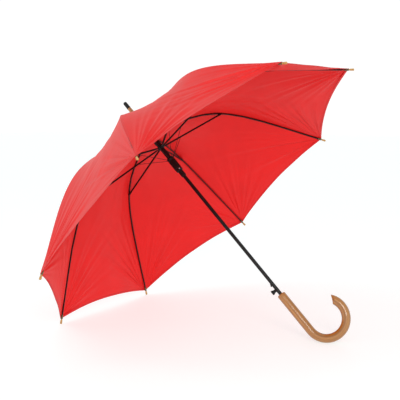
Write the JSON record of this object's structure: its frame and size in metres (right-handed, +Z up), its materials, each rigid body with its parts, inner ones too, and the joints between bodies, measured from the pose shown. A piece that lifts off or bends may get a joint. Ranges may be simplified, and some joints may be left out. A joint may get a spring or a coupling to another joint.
{
  "type": "stick umbrella",
  "caption": "Automatic stick umbrella with a crook handle, folding ribs and stretchers, and a domed canopy, standing open.",
  "frame": {"origin": "on the ground, under the middle of the box round the open umbrella as it stands on two rib tips and its crook", "axes": "+Z up from the ground; the shaft lies over the X axis, sloping 45 degrees, with its handle towards +X and its ferrule towards -X and up; +Y runs across the canopy"},
  "size_m": [0.7504, 0.964, 0.6862],
  "materials": {
    "frame_steel": "satin black enamel",
    "shaft_steel": "satin black enamel",
    "black_plastic": "moulded satin black",
    "handle_wood": "glossy clear lacquer",
    "ferrule_wood": "glossy clear lacquer",
    "tips": "tan with a soft gloss",
    "canopy": "bright red woven polyester",
    "spring_steel": "plain spring wire",
    "rivet": "bright nickel"
  },
  "bodies": {
    "stick": {"shaft": "shaft_steel", "crook_handle": "handle_wood", "ferrule": "ferrule_wood", "ferrule_cap": "black_plastic", "top_notch": "black_plastic", "notch_ring_wire": "spring_steel", "canopy_washer": "black_plastic", "catch_spring": "spring_steel"},
    "runner": {"runner_head": "black_plastic", "runner_ring_wire": "spring_steel"},
    "barrel": {"runner_barrel": "black_plastic", "barrel_ring_wire": "spring_steel", "barrel_collar": "black_plastic", "barrel_rivet": "rivet", "opening_spring": "spring_steel"},
    "button": {"release_button": "black_plastic"},
    "catch": {"catch_tooth": "shaft_steel"},
    "rib_1": {"rib_1": "frame_steel", "rib_tip_1": "tips"},
    "stretcher_1": {"stretcher_1": "frame_steel"},
    "wire_1": {"helper_wire_1": "frame_steel"},
    "panel_1": {"canopy_panel_1": "canopy"},
    "rib_2": {"rib_2": "frame_steel", "rib_tip_2": "tips"},
    "stretcher_2": {"stretcher_2": "frame_steel"},
    "wire_2": {"helper_wire_2": "frame_steel"},
    "panel_2": {"canopy_panel_2": "canopy"},
    "rib_3": {"rib_3": "frame_steel", "rib_tip_3": "tips"},
    "stretcher_3": {"stretcher_3": "frame_steel"},
    "wire_3": {"helper_wire_3": "frame_steel"},
    "panel_3": {"canopy_panel_3": "canopy"},
    "rib_4": {"rib_4": "frame_steel", "rib_tip_4": "tips"},
    "stretcher_4": {"stretcher_4": "frame_steel"},
    "wire_4": {"helper_wire_4": "frame_steel"},
    "panel_4": {"canopy_panel_4": "canopy"},
    "rib_5": {"rib_5": "frame_steel", "rib_tip_5": "tips"},
    "stretcher_5": {"stretcher_5": "frame_steel"},
    "wire_5": {"helper_wire_5": "frame_steel"},
    "panel_5": {"canopy_panel_5": "canopy"},
    "rib_6": {"rib_6": "frame_steel", "rib_tip_6": "tips"},
    "stretcher_6": {"stretcher_6": "frame_steel"},
    "wire_6": {"helper_wire_6": "frame_steel"},
    "panel_6": {"canopy_panel_6": "canopy"},
    "rib_7": {"rib_7": "frame_steel", "rib_tip_7": "tips"},
    "stretcher_7": {"stretcher_7": "frame_steel"},
    "wire_7": {"helper_wire_7": "frame_steel"},
    "panel_7": {"canopy_panel_7": "canopy"},
    "rib_8": {"rib_8": "frame_steel", "rib_tip_8": "tips"},
    "stretcher_8": {"stretcher_8": "frame_steel"},
    "wire_8": {"helper_wire_8": "frame_steel"},
    "panel_8": {"canopy_panel_8": "canopy"}
  },
  "joints": [
    {"name": "rib_fold_1", "type": "hinge", "parent": "stick", "child": "rib_1", "pos_m": [-0.19789, 0.00325, 0.52109], "axis": [-0.2711, 0.9239, -0.2701], "range_deg": [0, 62.7], "stiffness_Nm_per_rad": 0.5, "springref_deg": -171.89},
    {"name": "rib_fold_2", "type": "hinge", "parent": "stick", "child": "rib_2", "pos_m": [-0.19789, -0.00325, 0.52109], "axis": [0.2711, 0.9239, 0.2701], "range_deg": [0, 62.7]},
    {"name": "rib_fold_3", "type": "hinge", "parent": "stick", "child": "rib_3", "pos_m": [-0.20115, -0.00785, 0.51784], "axis": [0.6544, 0.3827, 0.6521], "range_deg": [0, 62.7]},
    {"name": "rib_fold_4", "type": "hinge", "parent": "stick", "child": "rib_4", "pos_m": [-0.20576, -0.00785, 0.51325], "axis": [0.6544, -0.3827, 0.6521], "range_deg": [0, 62.7]},
    {"name": "rib_fold_5", "type": "hinge", "parent": "stick", "child": "rib_5", "pos_m": [-0.20902, -0.00325, 0.51], "axis": [0.2711, -0.9239, 0.2701], "range_deg": [0, 62.7]},
    {"name": "rib_fold_6", "type": "hinge", "parent": "stick", "child": "rib_6", "pos_m": [-0.20902, 0.00325, 0.51], "axis": [-0.2711, -0.9239, -0.2701], "range_deg": [0, 62.7]},
    {"name": "rib_fold_7", "type": "hinge", "parent": "stick", "child": "rib_7", "pos_m": [-0.20576, 0.00785, 0.51325], "axis": [-0.6544, -0.3827, -0.6521], "range_deg": [0, 62.7]},
    {"name": "rib_fold_8", "type": "hinge", "parent": "stick", "child": "rib_8", "pos_m": [-0.20115, 0.00785, 0.51784], "axis": [-0.6544, 0.3827, -0.6521], "range_deg": [0, 62.7]},
    {"name": "stretcher_fold_1", "type": "hinge", "parent": "rib_1", "child": "stretcher_1", "pos_m": [-0.01515, 0.09885, 0.66465], "axis": [-0.2711, 0.9239, -0.2701], "range_deg": [-125.4, 0]},
    {"name": "stretcher_fold_2", "type": "hinge", "parent": "rib_2", "child": "stretcher_2", "pos_m": [-0.01515, -0.09885, 0.66465], "axis": [0.2711, 0.9239, 0.2701], "range_deg": [-125.4, 0]},
    {"name": "stretcher_fold_3", "type": "hinge", "parent": "rib_3", "child": "stretcher_3", "pos_m": [-0.11417, -0.23864, 0.56598], "axis": [0.6544, 0.3827, 0.6521], "range_deg": [-125.4, 0]},
    {"name": "stretcher_fold_4", "type": "hinge", "parent": "rib_4", "child": "stretcher_4", "pos_m": [-0.2542, -0.23864, 0.42643], "axis": [0.6544, -0.3827, 0.6521], "range_deg": [-125.4, 0]},
    {"name": "stretcher_fold_5", "type": "hinge", "parent": "rib_5", "child": "stretcher_5", "pos_m": [-0.35322, -0.09885, 0.32776], "axis": [0.2711, -0.9239, 0.2701], "range_deg": [-125.4, 0]},
    {"name": "stretcher_fold_6", "type": "hinge", "parent": "rib_6", "child": "stretcher_6", "pos_m": [-0.35322, 0.09885, 0.32776], "axis": [-0.2711, -0.9239, -0.2701], "range_deg": [-125.4, 0]},
    {"name": "stretcher_fold_7", "type": "hinge", "parent": "rib_7", "child": "stretcher_7", "pos_m": [-0.2542, 0.23864, 0.42643], "axis": [-0.6544, -0.3827, -0.6521], "range_deg": [-125.4, 0]},
    {"name": "stretcher_fold_8", "type": "hinge", "parent": "rib_8", "child": "stretcher_8", "pos_m": [-0.11417, 0.23864, 0.56598], "axis": [-0.6544, 0.3827, -0.6521], "range_deg": [-125.4, 0]},
    {"name": "runner_hinge", "type": "hinge", "parent": "stretcher_1", "child": "runner", "pos_m": [-0.15935, 0.00325, 0.48241], "axis": [-0.2711, 0.9239, -0.2701], "range_deg": [0, 62.7]},
    {"name": "barrel_slide", "type": "slide", "parent": "runner", "child": "barrel", "axis": [-0.7059, 0, 0.7083], "range_m": [0, 0.02699], "deforming": ["opening_spring"]},
    {"name": "wire_fold_1", "type": "hinge", "parent": "barrel", "child": "wire_1", "pos_m": [-0.1281, 0.00337, 0.45144], "axis": [-0.2711, 0.9239, -0.2701], "range_deg": [-35.54, 0]},
    {"name": "wire_fold_2", "type": "hinge", "parent": "barrel", "child": "wire_2", "pos_m": [-0.1281, -0.00337, 0.45144], "axis": [0.2711, 0.9239, 0.2701], "range_deg": [-35.54, 0]},
    {"name": "wire_fold_3", "type": "hinge", "parent": "barrel", "child": "wire_3", "pos_m": [-0.13147, -0.00813, 0.44808], "axis": [0.6544, 0.3827, 0.6521], "range_deg": [-35.54, 0]},
    {"name": "wire_fold_4", "type": "hinge", "parent": "barrel", "child": "wire_4", "pos_m": [-0.13624, -0.00813, 0.44333], "axis": [0.6544, -0.3827, 0.6521], "range_deg": [-35.54, 0]},
    {"name": "wire_fold_5", "type": "hinge", "parent": "barrel", "child": "wire_5", "pos_m": [-0.13962, -0.00337, 0.43996], "axis": [0.2711, -0.9239, 0.2701], "range_deg": [-35.54, 0]},
    {"name": "wire_fold_6", "type": "hinge", "parent": "barrel", "child": "wire_6", "pos_m": [-0.13962, 0.00337, 0.43996], "axis": [-0.2711, -0.9239, -0.2701], "range_deg": [-35.54, 0]},
    {"name": "wire_fold_7", "type": "hinge", "parent": "barrel", "child": "wire_7", "pos_m": [-0.13624, 0.00813, 0.44333], "axis": [-0.6544, -0.3827, -0.6521], "range_deg": [-35.54, 0]},
    {"name": "wire_fold_8", "type": "hinge", "parent": "barrel", "child": "wire_8", "pos_m": [-0.13147, 0.00813, 0.44808], "axis": [-0.6544, 0.3827, -0.6521], "range_deg": [-35.54, 0]},
    {"name": "panel_fold_1", "type": "hinge", "parent": "stick", "child": "panel_1", "pos_m": [-0.19743, 0, 0.52154], "axis": [0, 1, 0], "range_deg": [0, 59.88], "deforming": ["canopy_panel_1"]},
    {"name": "panel_fold_2", "type": "hinge", "parent": "stick", "child": "panel_2", "pos_m": [-0.1992, -0.00601, 0.51979], "axis": [0.5009, 0.7071, 0.4991], "range_deg": [0, 59.88], "deforming": ["canopy_panel_2"]},
    {"name": "panel_fold_3", "type": "hinge", "parent": "stick", "child": "panel_3", "pos_m": [-0.20346, -0.0085, 0.51554], "axis": [0.7083, 0, 0.7059], "range_deg": [0, 59.88], "deforming": ["canopy_panel_3"]},
    {"name": "panel_fold_4", "type": "hinge", "parent": "stick", "child": "panel_4", "pos_m": [-0.20771, -0.00601, 0.5113], "axis": [0.5009, -0.7071, 0.4991], "range_deg": [0, 59.88], "deforming": ["canopy_panel_4"]},
    {"name": "panel_fold_5", "type": "hinge", "parent": "stick", "child": "panel_5", "pos_m": [-0.20948, 0, 0.50954], "axis": [0, -1, 0], "range_deg": [0, 59.88], "deforming": ["canopy_panel_5"]},
    {"name": "panel_fold_6", "type": "hinge", "parent": "stick", "child": "panel_6", "pos_m": [-0.20771, 0.00601, 0.5113], "axis": [-0.5009, -0.7071, -0.4991], "range_deg": [0, 59.88], "deforming": ["canopy_panel_6"]},
    {"name": "panel_fold_7", "type": "hinge", "parent": "stick", "child": "panel_7", "pos_m": [-0.20346, 0.0085, 0.51554], "axis": [-0.7083, 0, -0.7059], "range_deg": [0, 59.88], "deforming": ["canopy_panel_7"]},
    {"name": "panel_fold_8", "type": "hinge", "parent": "stick", "child": "panel_8", "pos_m": [-0.1992, 0.00601, 0.51979], "axis": [-0.5009, 0.7071, -0.4991], "range_deg": [0, 59.88], "deforming": ["canopy_panel_8"]},
    {"name": "button_press", "type": "slide", "parent": "stick", "child": "button", "axis": [0.6544, 0.3827, 0.6521], "range_m": [0, 0.0036], "stiffness_N_per_m": 500, "springref_m": -0.002},
    {"name": "catch_press", "type": "slide", "parent": "stick", "child": "catch", "axis": [0.6544, 0.3827, 0.6521], "range_m": [0, 0.0036]}
  ],
  "couplings": [
    {"joint": "rib_fold_2", "follows": "rib_fold_1", "ratio": 1},
    {"joint": "rib_fold_3", "follows": "rib_fold_1", "ratio": 1},
    {"joint": "rib_fold_4", "follows": "rib_fold_1", "ratio": 1},
    {"joint": "rib_fold_5", "follows": "rib_fold_1", "ratio": 1},
    {"joint": "rib_fold_6", "follows": "rib_fold_1", "ratio": 1},
    {"joint": "rib_fold_7", "follows": "rib_fold_1", "ratio": 1},
    {"joint": "rib_fold_8", "follows": "rib_fold_1", "ratio": 1},
    {"joint": "stretcher_fold_1", "follows": "rib_fold_1", "ratio": -2},
    {"joint": "stretcher_fold_2", "follows": "rib_fold_1", "ratio": -2},
    {"joint": "stretcher_fold_3", "follows": "rib_fold_1", "ratio": -2},
    {"joint": "stretcher_fold_4", "follows": "rib_fold_1", "ratio": -2},
    {"joint": "stretcher_fold_5", "follows": "rib_fold_1", "ratio": -2},
    {"joint": "stretcher_fold_6", "follows": "rib_fold_1", "ratio": -2},
    {"joint": "stretcher_fold_7", "follows": "rib_fold_1", "ratio": -2},
    {"joint": "stretcher_fold_8", "follows": "rib_fold_1", "ratio": -2},
    {"joint": "runner_hinge", "follows": "rib_fold_1", "ratio": 1},
    {"joint": "barrel_slide", "follows": "rib_fold_1", "m_per_rad": 0.024666},
    {"joint": "wire_fold_1", "follows": "rib_fold_1", "ratio": -0.56682},
    {"joint": "wire_fold_2", "follows": "rib_fold_1", "ratio": -0.56682},
    {"joint": "wire_fold_3", "follows": "rib_fold_1", "ratio": -0.56682},
    {"joint": "wire_fold_4", "follows": "rib_fold_1", "ratio": -0.56682},
    {"joint": "wire_fold_5", "follows": "rib_fold_1", "ratio": -0.56682},
    {"joint": "wire_fold_6", "follows": "rib_fold_1", "ratio": -0.56682},
    {"joint": "wire_fold_7", "follows": "rib_fold_1", "ratio": -0.56682},
    {"joint": "wire_fold_8", "follows": "rib_fold_1", "ratio": -0.56682},
    {"joint": "panel_fold_1", "follows": "rib_fold_1", "ratio": 0.955},
    {"joint": "panel_fold_2", "follows": "rib_fold_1", "ratio": 0.955},
    {"joint": "panel_fold_3", "follows": "rib_fold_1", "ratio": 0.955},
    {"joint": "panel_fold_4", "follows": "rib_fold_1", "ratio": 0.955},
    {"joint": "panel_fold_5", "follows": "rib_fold_1", "ratio": 0.955},
    {"joint": "panel_fold_6", "follows": "rib_fold_1", "ratio": 0.955},
    {"joint": "panel_fold_7", "follows": "rib_fold_1", "ratio": 0.955},
    {"joint": "panel_fold_8", "follows": "rib_fold_1", "ratio": 0.955},
    {"joint": "catch_press", "follows": "button_press", "ratio": 1}
  ]
}
